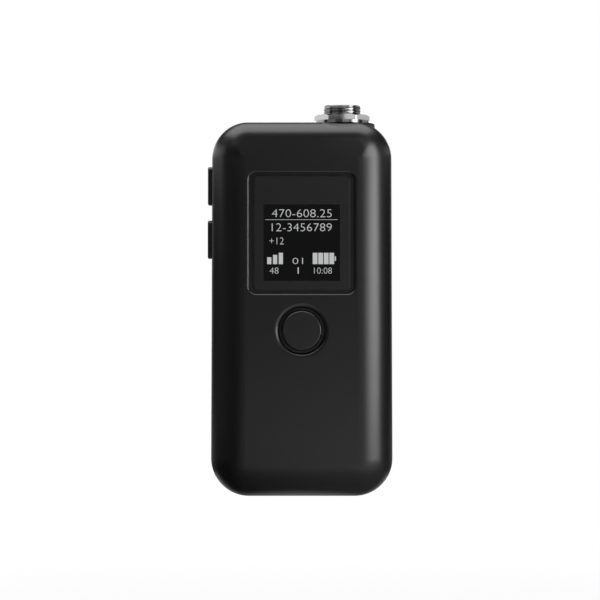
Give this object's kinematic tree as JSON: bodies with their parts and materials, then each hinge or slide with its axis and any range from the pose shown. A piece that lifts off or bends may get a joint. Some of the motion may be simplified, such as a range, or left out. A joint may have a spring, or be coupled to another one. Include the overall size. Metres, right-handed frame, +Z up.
{
  "type": "wireless bodypack transmitter",
  "caption": "Pocket radio transmitter in a rounded case, with a small display, a round front button, side buttons, a threaded input socket on top and a sprung belt clip.",
  "frame": {"origin": "middle of the flat bottom of the case", "axes": "+Z up through the top with the socket, -Y out of the front with the display, +X to the right seen from the front"},
  "size_m": [0.0497, 0.028, 0.1048],
  "materials": {
    "case_black": "fine satin black paint",
    "button_black": "satin black",
    "lens_black": "smoked window with a matt printed frame",
    "display_glass": "dark display glass",
    "inner_plastic": "moulded black",
    "seal_rubber": "soft black",
    "socket_chrome": "bright nickel plate",
    "contact_gold": "gold plate",
    "board_green": "green solder mask",
    "chip_black": "moulded epoxy",
    "tinned_sheet": "tinned sheet",
    "copper_sheet": "copper sheet",
    "switch_metal": "stamped sheet",
    "screw_steel": "black oxide",
    "clip_black": "satin black powder coat",
    "battery_black": "fine textured",
    "foam_grey": "closed cell foam"
  },
  "bodies": {
    "case": {"front_case": "case_black", "rear_case": "case_black", "display_lens": "lens_black", "display_gasket": "seal_rubber", "display_module": "display_glass", "display_holder": "inner_plastic", "front_button_seal": "seal_rubber", "front_switch": "switch_metal", "side_button_board": "board_green", "socket_shell": "socket_chrome", "socket_insert": "inner_plastic", "contact_pins": "contact_gold", "lock_washer": "socket_chrome", "hex_nut": "socket_chrome", "socket_seal": "seal_rubber", "main_board": "board_green", "board_chips": "chip_black", "rf_shield": "tinned_sheet", "antenna": "copper_sheet", "battery_pack": "battery_black", "battery_contacts": "contact_gold", "charge_contacts": "contact_gold", "upper_case_screws": "screw_steel", "lower_case_screws": "screw_steel", "board_screws": "screw_steel", "clip_screws": "screw_steel", "clip_bracket": "clip_black", "clip_pin": "screw_steel", "clip_spring": "screw_steel", "upper_side_button_seal": "seal_rubber", "upper_side_switch": "switch_metal", "lower_side_button_seal": "seal_rubber", "lower_side_switch": "switch_metal"},
    "clip": {"belt_clip": "clip_black"},
    "door": {"battery_door": "case_black", "door_pad": "foam_grey"},
    "front_button": {"front_button": "button_black"},
    "upper_side_button": {"upper_side_button": "button_black"},
    "lower_side_button": {"lower_side_button": "button_black"}
  },
  "joints": [
    {"name": "clip_hinge", "type": "hinge", "parent": "case", "child": "clip", "pos_m": [0, 0.0145, 0.0826], "axis": [1, 0, 0], "range_deg": [0, 14], "stiffness_Nm_per_rad": 0.9, "springref_deg": -17.19, "deforming": ["clip_spring"]},
    {"name": "door_slide", "type": "slide", "parent": "case", "child": "door", "axis": [0, 0, -1], "range_m": [0, 0.062]},
    {"name": "front_button_press", "type": "slide", "parent": "case", "child": "front_button", "axis": [0, 1, 0], "range_m": [0, 0.0004], "stiffness_N_per_m": 2000, "springref_m": -0.0003},
    {"name": "upper_side_press", "type": "slide", "parent": "case", "child": "upper_side_button", "axis": [1, 0, 0], "range_m": [0, 0.0004], "stiffness_N_per_m": 2000, "springref_m": -0.0003},
    {"name": "lower_side_press", "type": "slide", "parent": "case", "child": "lower_side_button", "axis": [1, 0, 0], "range_m": [0, 0.0004], "stiffness_N_per_m": 2000, "springref_m": -0.0003}
  ]
}
